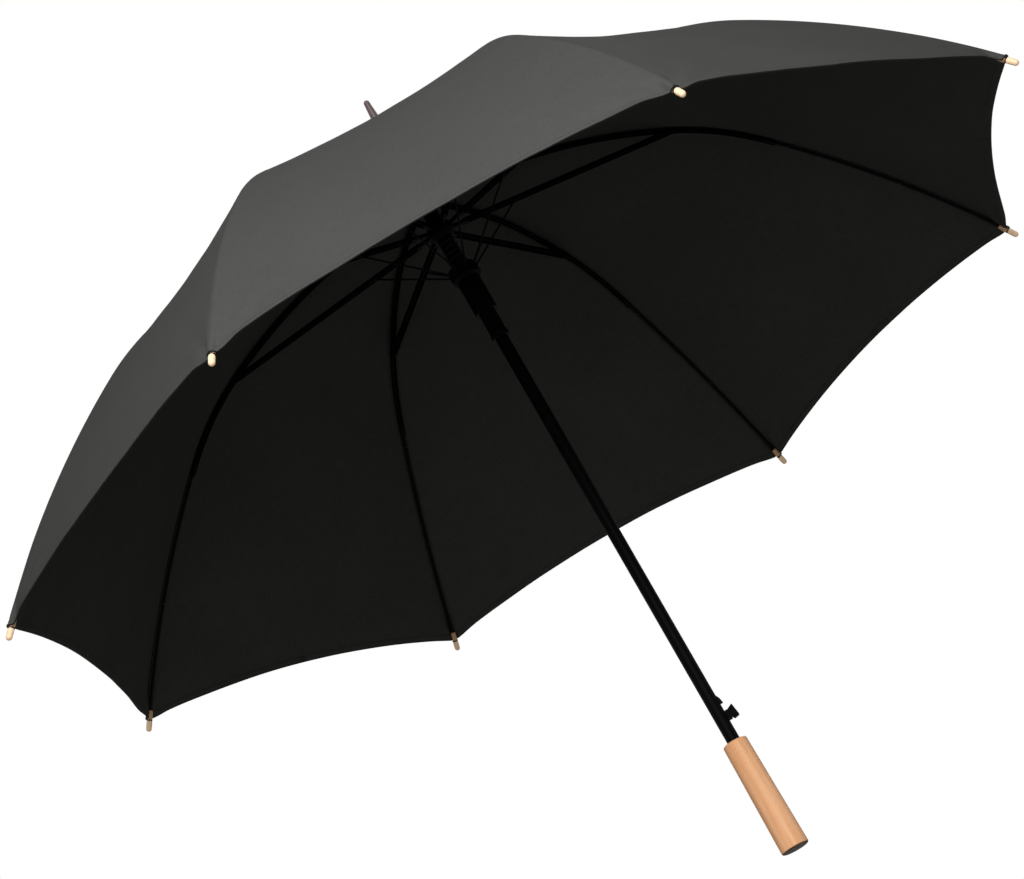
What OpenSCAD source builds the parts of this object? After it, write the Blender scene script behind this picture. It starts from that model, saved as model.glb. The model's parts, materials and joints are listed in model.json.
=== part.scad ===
// Stick umbrella, automatic opening, eight ribs, standing open with its ferrule up.
// Millimetres, +Z up along the shaft, origin at the centre of the handle's end face.

/* [Canopy] */
// Diameter across the eight canopy corners
canopy_d = 1050; // [960:5:1140]
// Drop from the top hinge ring to the canopy corners
canopy_drop = 242; // [225:0.5:265]
// Thickness of the folded cloth in each panel
cloth_t = 0.6; // [0.4:0.1:1.2]
// Gap between the wooden tip and the cloth over it
cloth_gap = 0.7; // [0.5:0.1:1.2]
// How far the hem rises, along the cloth, midway between two ribs
hem_rise = 18; // [0:1:30]
// How far the cloth sinks midway between two ribs
cloth_sag = 6; // [0:0.5:12]
// Gap between neighbouring panels, half of it on each
seam_gap = 0.6; // [0.4:0.1:1.2]

/* [Folding linkage] */
// Distance from the sleeves of the notch and the crown out to their hinge rings
pivot_out = 3.7; // [3.5:0.1:4.5]
// Stretcher between its pivots, and rib from its hinge to the stretcher
arm = 256; // [240:1:270]
// Angle of both arms to the horizontal when the umbrella is open
open_angle = 3.4; // [3:0.1:5]
// Distance along the stretcher from the crown to the brace wire
brace_at = 73; // [66:1:80]
// Depth of the runner's hinge ring below the crown's when open
runner_drop = 47.8; // [44:0.1:50]
// Distance from the runner's spring bore out to its hinge ring
runner_pivot_out = 2.2; // [2.1:0.1:3]
// Turn of each rib from open to closed
fold_angle = 61.9; // [55:0.1:61.9]

/* [Ribs] */
// Height of the rib's centre line over its hinge
rib_raise = 3; // [2.6:0.1:3.4]
// Slope of the rib at the hinge, downwards positive
rib_start_slope = -10; // [-12:0.5:-5]
// Length of the tighter bend outside the stretcher
elbow_len = 90; // [60:1:100]
// Turn of that bend
elbow_bend = 20; // [14:0.5:24]
// Wall of the steel channel
channel_wall = 0.4; // [0.3:0.05:0.5]
// Diameter of the glass-fibre rod
rod_d = 3; // [2.6:0.1:3]
// Length of rod held inside the channel's outer end
rod_grip = 14; // [8:1:30]

/* [Rib tips] */
// Length of the wooden tip inside the hem
tip_in = 9.5; // [7:0.5:12]
// Length of the wooden tip outside the hem
tip_out = 11.5; // [9:0.5:12]
// Wood around the rod at the tip's thickest
tip_wall = 1.3; // [1:0.1:1.5]
// Depth of the rod in the tip, beyond the hem
tip_socket = 4; // [2:0.5:6]

/* [Stretchers and brace wires] */
// Height of the stretcher channel
stretcher_h = 4.4; // [4.2:0.1:4.8]
// Sheet thickness of the stretcher
stretcher_wall = 0.5; // [0.4:0.05:0.5]
// Length of the open fork that straddles the rib
fork_len = 12; // [11:0.5:18]
// Diameter of the rivet between stretcher and rib
rivet_d = 2; // [1.8:0.1:2.2]
// Diameter of the brace wires
brace_d = 1.8; // [1.6:0.1:2]
// Width of the brace wire's flattened eyes
brace_eye_w = 2.2; // [2:0.1:2.4]
// Diameter of the retaining wires in the hinge rings
ring_wire_d = 1; // [0.8:0.1:1]

/* [Shaft and handle] */
// Outside diameter of the steel shaft
shaft_d = 12.2; // [11.8:0.1:12.4]
// Wall of the steel shaft
shaft_wall = 0.8; // [0.6:0.1:1]
// Height of the canopy corners above the handle's end
corner_z = 457; // [445:1:500]
// Length of the handle
handle_len = 107; // [98:1:112]
// Handle diameter at its top
handle_top_d = 23; // [21:0.1:24]
// Handle diameter at its end
handle_end_d = 26.2; // [24:0.1:28]
// Rounding of the handle's edges
handle_round = 1.6; // [0.8:0.1:3]
// Solid wood under the shaft's lower end
handle_floor = 25; // [15:1:40]

/* [Ferrule] */
// Length of the ferrule above the rosette
ferrule_len = 117; // [100:1:125]
// Wall of the ferrule around the shaft
ferrule_wall = 0.75; // [0.6:0.05:1.4]
// Diameter of the ferrule's rounded end
ferrule_tip_d = 6; // [5:0.1:8]
// Length of the ferrule's taper
ferrule_taper = 58; // [40:1:64]
// Length of shaft inside the ferrule
ferrule_socket = 36; // [25:1:45]

/* [Notch, crown and runner] */
// Material outside the hinge rings of the notch and the crown
ring_out = 2.5; // [2.3:0.1:3.5]
// Wall of the notch's and crown's sleeves
sleeve_wall = 1.05; // [0.9:0.05:1.3]
// Length of the notch's sleeve below its hinge ring
notch_skirt = 14; // [11:0.5:18]
// Material outside the runner's hinge ring
runner_ring_out = 2.3; // [2.1:0.1:3]
// Wall of the runner's spring housing
housing_wall = 1.1; // [1:0.1:1.6]
// Length of the spring housing below the runner's hinge ring
housing_len = 47; // [44:0.5:52]
// Wall of the runner's lower sleeve
lower_sleeve_wall = 1.75; // [1.5:0.05:2.2]
// How far the lower sleeve's end flares out
flare_out = 0.9; // [0.3:0.1:1.5]
// Runner below its hinge ring, all told
runner_len = 76.4; // [72:0.1:78]
// Length of the crown's sleeve below its hinge ring, inside the spring
crown_skirt = 50; // [49:0.5:53]
// Running clearance of crown and runner on the shaft, radial
slide_clear = 0.15; // [0.1:0.01:0.25]

/* [Main spring] */
// Wire diameter of the main spring
spring_wire = 1.6; // [1.3:0.1:1.7]
// Turns of the main spring
spring_turns = 15; // [12:1:17]

/* [Catch and push button] */
// How far the catch stands out of the shaft
catch_out = 2.6; // [2:0.1:2.8]
// Length of the catch along the shaft
catch_len = 8.6; // [7:0.1:9]
// Thickness of the catch
catch_w = 3; // [2.4:0.1:3.2]
// Width of the rim under the runner's window
window_rim = 2.2; // [1.8:0.1:2.4]
// Travel of the push button, and of the catch with it
button_travel = 2.8; // [2.6:0.1:3]
// Width of the push button around the shaft
button_w = 5; // [4:0.1:5]
// Length of the push button's stem along the shaft
button_stem_len = 9; // [7:0.5:9]
// How far the button stands out of the shaft
button_out = 10; // [9.4:0.1:10.4]

/* [Hidden] */
rib_n = 8;

$fn = 48;
eps = 0.02;                // overshoot of a cut past a face
pin_clear = 0.05;          // radial clearance of a pin in its hole
fit_clear = 0.05;          // radial clearance of a tube or rod in its socket
tip_clear = 0.1;           // radial clearance of the curved rod in the tip's straight bore
rod_clear = 0.1;           // radial clearance of the rod in the channel
tongue_clear = 0.1;        // side clearance of a tongue in its channel
spring_gap = 0.8;          // radial gap between the crown's sleeve and the spring
spring_clear = 0.3;        // radial clearance of the spring in its housing
slot_clear = 0.15;         // side clearance of a tongue or eye in its slot
rest_gap = 0.3;            // gap between parts that only touch
wire_hole_clear = 0.15;    // radial clearance of a straight hole around a curved wire

// Colours
black_plastic = [0.03, 0.03, 0.03];
black_steel = [0.05, 0.05, 0.055];
gunmetal = [0.22, 0.18, 0.18];
pale_wood = [0.85, 0.65, 0.48];
black_cloth = [0.13, 0.13, 0.13];
glass_fibre = [0.04, 0.04, 0.04];

// Places of the ribs: the catch and the button lie midway between ribs 8 and 1
gore = 360 / rib_n;
function rib_az(i) = gore / 2 + (i - 1) * gore;

// Sizes around the shaft, from the inside out
shaft_r = shaft_d / 2;
shaft_bore_r = shaft_r - shaft_wall;
slide_r = shaft_r + slide_clear;
sleeve_r = slide_r + sleeve_wall;
pivot_r = sleeve_r + pivot_out;
ring_r = pivot_r + ring_out;
spring_r = sleeve_r + spring_gap + spring_wire;
housing_bore_r = spring_r + spring_clear;
housing_r = housing_bore_r + housing_wall;
runner_pivot_r = housing_bore_r + runner_pivot_out;
runner_ring_r = runner_pivot_r + runner_ring_out;
lower_sleeve_r = slide_r + lower_sleeve_wall;
flare_r = lower_sleeve_r + flare_out;
button_reach = shaft_r + button_out;

// Sizes around the rod, from the inside out
channel_w = rod_d + 2 * (rod_clear + channel_wall);
channel_h = channel_w;
tongue_t = channel_w - 2 * (channel_wall + tongue_clear);
stretcher_w = channel_w + 2 * (slot_clear + stretcher_wall);
tip_r = rod_d / 2 + tip_clear + tip_wall;
cloth_lift = tip_r + cloth_gap;

// Hinge rings along the shaft, umbrella open
hinge_z = corner_z + canopy_drop;
crown_z = hinge_z - 2 * arm * sin(open_angle);
joint_r = pivot_r + arm * cos(open_angle);
joint_z = hinge_z - arm * sin(open_angle);
runner_z = crown_z - runner_drop;
brace_r = pivot_r + brace_at * cos(open_angle);
brace_z = crown_z + brace_at * sin(open_angle);
brace_angle = atan2(brace_z - runner_z, brace_r - runner_pivot_r);
brace_len = norm([brace_r - runner_pivot_r, brace_z - runner_z]);

// The same, umbrella closed
closed_angle = open_angle + fold_angle;
closed_crown_z = hinge_z - 2 * arm * sin(closed_angle);
closed_brace_r = pivot_r + brace_at * cos(closed_angle);
closed_brace_z = closed_crown_z + brace_at * sin(closed_angle);
closed_brace_angle = acos((closed_brace_r - runner_pivot_r) / brace_len);
closed_runner_z = closed_brace_z - brace_len * sin(closed_brace_angle);
closed_runner_end_z = closed_runner_z - runner_len;

// Rib centre line: three arcs, each starting along the last one's end.
// A slope is in degrees below the horizontal, a place on the rib is its length from the hinge.
rib_start = [pivot_r, hinge_z + rib_raise];
function turn(a, b) = (b - a) * PI / 180;
function chord_slope(p, q) = atan2(p.y - q.y, q.x - p.x);
function arc_len(p, q, a, b) = norm(q - p) * turn(a, b) / 2 / sin((b - a) / 2);
function arc_step(p, a, b, len) =
    p + len / turn(a, b) * [sin(b) - sin(a), cos(b) - cos(a)];
joint_slope = 2 * chord_slope(rib_start, [joint_r, joint_z]) - rib_start_slope;
arm_len = arc_len(rib_start, [joint_r, joint_z], rib_start_slope, joint_slope);
elbow_slope = joint_slope + elbow_bend;
elbow_end = arc_step([joint_r, joint_z], joint_slope, elbow_slope, elbow_len);
corner = [canopy_d / 2, corner_z];
corner_slope = 2 * chord_slope(elbow_end, corner) - elbow_slope;
outer_len = arc_len(elbow_end, corner, elbow_slope, corner_slope);
// Each arc: start point, start slope, end slope, length
RIB_ARCS = [
    [rib_start, rib_start_slope, joint_slope, arm_len],
    [[joint_r, joint_z], joint_slope, elbow_slope, elbow_len],
    [elbow_end, elbow_slope, corner_slope, outer_len]];
elbow_at = arm_len + elbow_len;
rib_len = elbow_at + outer_len;

function arc_at(s) = s < arm_len ? 0 : s < elbow_at ? 1 : 2;
function arc_from(k) = k == 0 ? 0 : k == 1 ? arm_len : elbow_at;
function rib_slope(s) =
    let (k = arc_at(s), c = RIB_ARCS[k])
    c[1] + (c[2] - c[1]) * (s - arc_from(k)) / c[3];
function rib_point(s) =
    let (k = arc_at(s), c = RIB_ARCS[k])
    arc_step(c[0], c[1], rib_slope(s) + 1e-6, s - arc_from(k) + 1e-6);
// A point off the centre line by h, square to the rib and upwards
function rib_off(s, h) = rib_point(s) + h * [sin(rib_slope(s)), cos(rib_slope(s))];

// Cloth surface in a rib's own plane frame: x outwards, y across, z up.
// across runs from -1 to 1, midway to each neighbour; h is the height above the rib's centre line.
function hem_place(across) = rib_len - hem_rise * abs(across) * (2 - abs(across));
function cloth_point(along, across, h) =
    let (s = cloth_start + along * (hem_place(across) - cloth_start),
         fall = cloth_sag * sin(180 * along) * abs(across) * (2 - abs(across)),
         p = rib_off(s, h - fall),
         half = p.x * sin(gore) / 2,
         t = abs(across) * (1 - seam_gap / 2 / half))
    [p.x - t * p.x * (1 - cos(gore)) / 2, sign(across) * t * half, p.y];
cloth_start = -1.5;        // the panels start just inside the hinge ring
cloth_rows = concat([for (k = [0:5]) (cloth_start + (arm_len - cloth_start) * k / 5)],
                    [for (k = [1:5]) arm_len + elbow_len * k / 5],
                    [for (k = [1:4]) elbow_at + outer_len * k / 4]);
function row_share(k) = (cloth_rows[k] - cloth_start) / (rib_len - cloth_start);
cloth_cols = 3;            // strips from the rib to midway

// Notch, rosette and ferrule
ring_half = 3;             // half height of the slotted rings
slot_r = pivot_r - 2.6;    // floor of the slots, clear of the rounded tongues
eye_r = 2;                 // outer radius of the hinge eyes
cloth_top_z = hinge_z + rib_raise + cloth_lift + cloth_t;
rosette_r = 16;
rosette_t = 1;
rosette_z = cloth_top_z + rest_gap + (rosette_r - pivot_r) * tan(-rib_start_slope);
ferrule_z = rosette_z + rosette_t;
ferrule_top = ferrule_z + ferrule_len;
shaft_bottom = handle_floor;
shaft_top = ferrule_z + ferrule_socket;
notch_bottom = hinge_z - notch_skirt;
crown_bottom = crown_z - crown_skirt;
crown_seat_z = crown_z - 5;  // underside of the crown's ring, where the spring pushes
crown_top = notch_bottom - rest_gap;

// Runner and main spring
runner_end_z = runner_z - runner_len;
housing_end_z = runner_z - housing_len;
housing_floor = 4;         // plastic under the spring
spring_bottom = housing_end_z + housing_floor + rest_gap;
spring_top = crown_seat_z - rest_gap;

// Catch, button and window, set by where the closed runner stands
window_h = catch_len + 1.6;
catch_z = closed_runner_end_z + window_rim + rest_gap;
catch_root = 3.4;          // inner end of catch and button, from the axis
button_top_z = closed_runner_end_z - 2.4;
button_stem_z = button_top_z - 2.5 - button_stem_len;
button_neck = button_travel + 0.3;  // straight part of the stem outside the shaft
leaf_t = 0.5;

// ---- helpers

// Turns a rib's plane frame to its place around the shaft
module at_rib(i) rotate([0, 0, rib_az(i)]) children();

// Sweeps a 2D profile (x square to the rib and upwards, y across) from place s0 to place s1 of one arc
module sweep_arc(k, s0, s1) {
    c = RIB_ARCS[k];
    r = c[3] / turn(c[1], c[2]);
    centre = c[0] - r * [sin(c[1]), cos(c[1])];
    a = c[1] + (c[2] - c[1]) * (s0 - arc_from(k)) / c[3];
    b = c[1] + (c[2] - c[1]) * (s1 - arc_from(k)) / c[3];
    translate([centre.x, 0, centre.y])
        rotate([90, 0, 0])
            rotate([0, 0, 90 - b])
                rotate_extrude(angle = b - a, $fn = 96)
                    translate([r, 0]) children();
}

// A plate in the rib's plane, centred on it: a 2D outline of x outwards and y up
module plate(t) rotate([90, 0, 0]) linear_extrude(height = t, center = true) children();

// A bar across the rib's plane at [x, z]
module cross_bar(p, r, len)
    translate([p.x, 0, p.y]) rotate([90, 0, 0]) cylinder(r = r, h = len, center = true);

// A tube standing on the axis
module tube(r_out, r_in, z0, z1)
    translate([0, 0, z0]) difference() {
        cylinder(r = r_out, h = z1 - z0);
        translate([0, 0, -eps]) cylinder(r = r_in, h = z1 - z0 + 2 * eps);
    }

// A round ring of wire about the axis
module wire_ring(r, wire_r, z)
    translate([0, 0, z]) rotate_extrude($fn = 96) translate([r, 0]) circle(r = wire_r, $fn = 24);

// Radial slots for the ribs' tongues, open outwards and upwards from z0
module rib_slots(w, from_r, z0, z1)
    for (i = [1:rib_n]) at_rib(i)
        translate([from_r, -w / 2, z0]) cube([2 * ring_r, w, z1 - z0]);

// Annular groove for a retaining wire, open at the top
module wire_groove(r, z, z1)
    let (half = ring_wire_d / 2 + fit_clear) tube(r + half, r - half, z - half, z1);

// A closed solid from two like grids of points, under[row][col] and over[row][col]
module shell_between(under, over) {
    rows = len(under);
    cols = len(under[0]);
    n = rows * cols;
    flat_points = concat([for (row = under) each row], [for (row = over) each row]);
    function id(i, j) = i * cols + j;
    faces = concat(
        [for (i = [0:rows - 2], j = [0:cols - 2]) each [
            [id(i, j), id(i + 1, j), id(i + 1, j + 1)],
            [id(i, j), id(i + 1, j + 1), id(i, j + 1)],
            [n + id(i, j), n + id(i + 1, j + 1), n + id(i + 1, j)],
            [n + id(i, j), n + id(i, j + 1), n + id(i + 1, j + 1)]]],
        [for (i = [0:rows - 2]) each [
            [id(i, 0), n + id(i + 1, 0), id(i + 1, 0)],
            [id(i, 0), n + id(i, 0), n + id(i + 1, 0)],
            [id(i, cols - 1), id(i + 1, cols - 1), n + id(i + 1, cols - 1)],
            [id(i, cols - 1), n + id(i + 1, cols - 1), n + id(i, cols - 1)]]],
        [for (j = [0:cols - 2]) each [
            [id(0, j), id(0, j + 1), n + id(0, j + 1)],
            [id(0, j), n + id(0, j + 1), n + id(0, j)],
            [id(rows - 1, j), n + id(rows - 1, j + 1), id(rows - 1, j + 1)],
            [id(rows - 1, j), n + id(rows - 1, j), n + id(rows - 1, j + 1)]]]);
    polyhedron(points = flat_points, faces = faces, convexity = 6);
}

// ---- shaft, handle and top

module shaft() color(black_steel)
    difference() {
        tube(shaft_r, shaft_bore_r, shaft_bottom, shaft_top);
        translate([0, -catch_w / 2 - slot_clear, catch_z - slot_clear])
            cube([shaft_d, catch_w + 2 * slot_clear, catch_len + 2 * slot_clear]);
        translate([0, -button_w / 2 - slot_clear, button_stem_z - slot_clear])
            cube([shaft_d, button_w + 2 * slot_clear, button_stem_len + 2 * slot_clear]);
        cross_bar([0, pin_z], pin_r + pin_clear, shaft_d + 2);
    }

// Quarter circle of points for a rounded edge
function corner_arc(cx, cy, r, a0, a1) =
    [for (k = [0:6]) let (a = a0 + (a1 - a0) * k / 6) [cx + r * cos(a), cy + r * sin(a)]];

module handle() color(pale_wood)
    difference() {
        rotate_extrude($fn = 96) polygon(concat(
            [[0, 0]],
            corner_arc(handle_end_d / 2 - handle_round, handle_round, handle_round, -90, 0),
            corner_arc(handle_top_d / 2 - handle_round, handle_len - handle_round, handle_round, 0, 90),
            [[0, handle_len]]));
        translate([0, 0, handle_floor - rest_gap])
            cylinder(r = shaft_r + fit_clear, h = handle_len);
    }

module ferrule() color(gunmetal) {
    body_r = shaft_r + fit_clear + ferrule_wall;
    end_r = ferrule_tip_d / 2;
    collar_r = body_r + 1.4;
    collar_h = 3;
    fade = 1;
    difference() {
        rotate_extrude($fn = 96) polygon(concat(
            [[0, ferrule_z], [collar_r, ferrule_z], [collar_r, ferrule_z + collar_h - fade],
             [body_r, ferrule_z + collar_h + fade], [body_r, ferrule_top - ferrule_taper]],
            corner_arc(0, ferrule_top - end_r, end_r, 6, 90)));
        translate([0, 0, ferrule_z - eps])
            cylinder(r = shaft_r + fit_clear, h = ferrule_socket + rest_gap + eps);
    }
}

module rosette() color(black_cloth)
    tube(rosette_r, shaft_r + slide_clear, rosette_z, rosette_z + rosette_t);

pin_r = 1;
pin_z = notch_bottom + 4;
pin_sink = 0.2;            // the pin's ends below the notch's surface
module notch_pin() color(black_steel)
    cross_bar([0, pin_z], pin_r, 2 * (sleeve_r - pin_sink));

module top_notch() color(black_plastic)
    difference() {
        union() {
            tube(sleeve_r, shaft_r + fit_clear, notch_bottom, hinge_z + ring_half);
            tube(ring_r, sleeve_r - 1, hinge_z - ring_half, hinge_z + ring_half);
        }
        rib_slots(tongue_t + 2 * slot_clear, slot_r, hinge_z - ring_half - eps, hinge_z + ring_half + eps);
        wire_groove(pivot_r, hinge_z, hinge_z + ring_half + eps);
        cross_bar([0, pin_z], pin_r + pin_clear, 2 * ring_r);
    }

module notch_wire() color(black_steel) wire_ring(pivot_r, ring_wire_d / 2, hinge_z);

// ---- crown, runner and spring

module upper_crown() color(black_plastic)
    difference() {
        union() {
            tube(sleeve_r, slide_r, crown_bottom, crown_top);
            tube(ring_r, sleeve_r - 1, crown_seat_z, crown_z + ring_half);
        }
        rib_slots(tongue_t + 2 * slot_clear, slot_r, crown_z - eye_r - rest_gap, crown_z + ring_half + eps);
        wire_groove(pivot_r, crown_z, crown_z + ring_half + eps);
    }

module crown_wire() color(black_steel) wire_ring(pivot_r, ring_wire_d / 2, crown_z);

module runner_wire() color(black_steel) wire_ring(runner_pivot_r, ring_wire_d / 2, runner_z);

runner_ring_top = 3.6;     // toothed ring above its hinge ring
runner_ring_base = 10;     // and below it
ring_chamfer = 2;
runner_slot_depth = 1.9;   // floor of its slots below the hinge ring
plug_step = 0.6;           // the lower sleeve steps in by this inside the housing's floor
lead_in = 0.4;             // bevel on the sleeve's open end
flare_len = 4;             // straight part of the flare
flare_fade = 3;            // and the cone above it
module lower_runner() color(black_plastic)
    difference() {
        union() {
            translate([0, 0, housing_end_z]) cylinder(r = housing_r, h = housing_len);
            translate([0, 0, runner_z - runner_ring_base])
                cylinder(r1 = housing_r, r2 = runner_ring_r, h = ring_chamfer);
            translate([0, 0, runner_z - runner_ring_base + ring_chamfer])
                cylinder(r = runner_ring_r, h = runner_ring_base - ring_chamfer + runner_ring_top);
        }
        translate([0, 0, housing_end_z + housing_floor])
            cylinder(r = housing_bore_r, h = housing_len + runner_ring_top);
        translate([0, 0, housing_end_z - eps])
            cylinder(r = lower_sleeve_r - plug_step, h = housing_floor + 2 * eps);
        rib_slots(brace_eye_w + 2 * slot_clear, housing_bore_r + 1,
            runner_z - runner_slot_depth, runner_z + runner_ring_top + eps);
        wire_groove(runner_pivot_r, runner_z, runner_z + runner_ring_top + eps);
    }

// The lower sleeve steps in where it plugs into the housing's floor
module runner_sleeve() color(black_plastic)
    difference() {
        rotate_extrude($fn = 96) polygon([
            [slide_r, runner_end_z],
            [flare_r - lead_in, runner_end_z],
            [flare_r, runner_end_z + lead_in],
            [flare_r, runner_end_z + flare_len],
            [lower_sleeve_r, runner_end_z + flare_len + flare_fade],
            [lower_sleeve_r, housing_end_z],
            [lower_sleeve_r - plug_step - fit_clear, housing_end_z],
            [lower_sleeve_r - plug_step - fit_clear, housing_end_z + housing_floor],
            [slide_r, housing_end_z + housing_floor]]);
        translate([0, -catch_w / 2 - rest_gap, runner_end_z + window_rim])
            cube([2 * flare_r, catch_w + 2 * rest_gap, window_h]);
    }

// Helix of round wire, its end turns closed
function coil_rise(u) =
    let (span = spring_top - spring_bottom - spring_wire,
         dead = spring_wire,
         live = (span - 2 * dead) / (spring_turns - 2))
    u < 1 ? u * dead : u > spring_turns - 1 ? span - (spring_turns - u) * dead : dead + (u - 1) * live;
module main_spring() color(black_steel) {
    steps = 16;
    sides = 6;
    rings = spring_turns * steps;
    mean_r = spring_r - spring_wire / 2;
    points = [for (k = [0:rings], j = [0:sides - 1])
        let (a = 360 * k / steps, b = 360 * j / sides, r = mean_r + spring_wire / 2 * cos(b))
        [r * cos(a), r * sin(a),
         spring_bottom + coil_rise(k / steps) + spring_wire / 2 * (1 + sin(b))]];
    faces = concat(
        [[for (j = [0:sides - 1]) j]],
        [for (k = [0:rings - 1], j = [0:sides - 1]) let (n = (j + 1) % sides) each [
            [k * sides + j, (k + 1) * sides + j, (k + 1) * sides + n],
            [k * sides + j, (k + 1) * sides + n, k * sides + n]]],
        [[for (j = [sides - 1:-1:0]) rings * sides + j]]);
    polyhedron(points = points, faces = faces, convexity = 20);
}

// ---- catch, button and their leaf spring, on the +X side

module catch() color(black_steel)
    plate(catch_w) polygon([
        [catch_root, catch_z],
        [shaft_r + catch_out, catch_z],
        [shaft_r + catch_out * 0.73, catch_z + catch_len * 0.53],
        [shaft_r, catch_z + catch_len],
        [catch_root, catch_z + catch_len]]);

module push_button() color(black_plastic) {
    stem_top_z = button_stem_z + button_stem_len;
    plate(button_w) polygon([
        [catch_root, button_stem_z],
        [shaft_r + button_neck, button_stem_z],
        [shaft_r + button_neck, button_stem_z + 1.6],
        [button_reach - 5, button_stem_z - 0.8],
        [button_reach - 0.6, button_stem_z],
        [button_reach, button_stem_z + 0.7],
        [button_reach - 1.5, button_top_z - 0.5],
        [button_reach - 2.1, button_top_z],
        [shaft_r + button_neck, stem_top_z],
        [catch_root, stem_top_z]]);
}

module latch_spring() color(black_steel)
    plate(catch_w) polygon(concat(
        [for (p = LEAF) p],
        [for (k = [len(LEAF) - 1:-1:0]) LEAF[k] + [leaf_t, 0]]));
leaf_x = catch_root - rest_gap - leaf_t;
LEAF = [
    [shaft_bore_r - 0.8 - leaf_t, button_stem_z - 11],
    [leaf_x, button_stem_z - 3],
    [leaf_x, catch_z + catch_len + 3],
    [-1, catch_z + catch_len + 20],
    [shaft_bore_r - 0.8 - leaf_t, catch_z + catch_len + 42]];

// ---- arms, each drawn in its rib's plane frame

// Inverted U of sheet, the opening on the low side
module channel_profile(w, h, wall)
    difference() {
        translate([-h / 2, -w / 2]) square([h, w]);
        translate([-h / 2 - eps, -w / 2 + wall]) square([h - wall + eps, w - 2 * wall]);
    }

tongue_len = 14;           // flattened part of a channel's hinge end
channel_end = elbow_at + rod_grip;
channel_stations = concat(
    [for (k = [1:11]) tongue_len + (arm_len - tongue_len) * k / 12],
    [for (k = [0:6]) arm_len + elbow_len * k / 6],
    [elbow_at + rod_grip / 2]);
// A strip along the rib's centre line through the stations, from height low to height high
module strip(stations, low, high, w)
    plate(w) polygon(concat(
        [for (s = stations) rib_off(s, low)],
        [for (k = [len(stations) - 1:-1:0]) rib_off(stations[k], high)]));
module rib() {
    color(black_steel) difference() {
        union() {
            difference() {
                strip(concat([tongue_len], channel_stations, [channel_end]),
                    -channel_h / 2, channel_h / 2, channel_w);
                strip(concat([tongue_len - 1], channel_stations, [channel_end + 1]),
                    -channel_h, channel_h / 2 - channel_wall, channel_w - 2 * channel_wall);
            }
            sweep_arc(0, 1, tongue_len + 5) square([channel_h - 0.4, tongue_t], center = true);
            plate(tongue_t) difference() {
                translate([pivot_r, hinge_z]) circle(r = eye_r);
                translate([pivot_r, hinge_z]) circle(r = ring_wire_d / 2 + wire_hole_clear);
            }
            plate(tongue_t) polygon([
                [pivot_r - 1.2, hinge_z + 1.4], [pivot_r + 1.9, hinge_z + 0.6],
                rib_off(8, -1.6), rib_off(8, 0.8), rib_off(0.5, 1.2)]);
        }
        cross_bar([joint_r, joint_z], rivet_d / 2 + pin_clear, channel_w + 2);
    }
    color(glass_fibre)
        sweep_arc(2, elbow_at + 1, rib_len + tip_socket) circle(d = rod_d, $fn = 24);
}

// Turned wooden tip, its axis along the rib's end, the hem at zero
module rib_tip() color(pale_wood) {
    r = tip_r;
    translate([corner.x, 0, corner.y]) rotate([0, 90 + corner_slope, 0])
        difference() {
            rotate_extrude() polygon(concat(
                [[0, -tip_in], [r - 0.8, -tip_in], [r - 0.3, -tip_in + 1], [r, -tip_in * 0.4],
                 [r - 0.35, -0.6], [r - 0.35, 0.6], [r, 2], [r - 0.1, tip_out - r]],
                corner_arc(0, tip_out - r + 0.1, r - 0.1, 8, 90)));
            translate([0, 0, -tip_in - eps])
                cylinder(d = rod_d + 2 * tip_clear, h = tip_in + tip_socket + rest_gap);
        }
}

// Stretcher, drawn along x from the crown's pivot and then tilted up
rivet_head_r = 1.6;
rivet_head_t = 0.4;
module stretcher() color(black_steel)
    translate([pivot_r, 0, crown_z]) rotate([0, -open_angle, 0]) difference() {
        union() {
            translate([tongue_len, 0, 0]) rotate([0, 90, 0]) rotate([0, 0, 180])
                linear_extrude(height = arm - tongue_len)
                    channel_profile(stretcher_w, stretcher_h, stretcher_wall);
            translate([0, -tongue_t / 2, -eye_r + 0.2]) cube([tongue_len + 5, tongue_t, 2 * eye_r - 0.4]);
            cross_bar([0, 0], eye_r, tongue_t);
            for (side = [-1, 1]) translate([arm, side * (stretcher_w - stretcher_wall) / 2, 0])
                rotate([90, 0, 0]) cylinder(d = stretcher_h, h = stretcher_wall, center = true);
            cross_bar([arm, 0], rivet_d / 2, stretcher_w + 2 * rivet_head_t);
            for (side = [-1, 1]) translate([arm, side * (stretcher_w + rivet_head_t) / 2, 0])
                rotate([90, 0, 0]) cylinder(r = rivet_head_r, h = rivet_head_t, center = true);
            cross_bar([brace_at, 0], brace_pin_r, stretcher_w);
        }
        cross_bar([0, 0], ring_wire_d / 2 + wire_hole_clear, stretcher_w);
        translate([arm - fork_len, -stretcher_w / 2 + stretcher_wall, stretcher_h / 2 - stretcher_wall - eps])
            cube([fork_len + stretcher_h, stretcher_w - 2 * stretcher_wall, stretcher_wall + 2 * eps]);
    }

// Brace wire, drawn along x from the runner's ring and then tilted up.
// Its lower eye is open towards the shaft, its upper one turns on the stretcher's pin.
brace_pin_r = 0.7;
brace_eye_r = 1.5;
hook_turn = 127;           // direction of the open side, from the wire's own line
module brace_wire() color(black_steel)
    translate([runner_pivot_r, 0, runner_z]) rotate([0, -brace_angle, 0]) {
        difference() {
            union() {
                translate([0.9, 0, 0]) rotate([0, 90, 0])
                    cylinder(d = brace_d, h = brace_len - 1.8, $fn = 24);
                cross_bar([brace_len, 0], brace_eye_r, brace_eye_w);
                cross_bar([0, 0], brace_eye_r, brace_eye_w);
            }
            cross_bar([brace_len, 0], brace_pin_r + pin_clear, brace_eye_w + 1);
            cross_bar([0, 0], ring_wire_d / 2 + wire_hole_clear, brace_eye_w + 1);
            rotate([0, -hook_turn, 0]) translate([-0.1, -brace_eye_w, -2 * brace_eye_r])
                cube([3 * brace_eye_r, 2 * brace_eye_w, 4 * brace_eye_r]);
        }
    }

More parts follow.
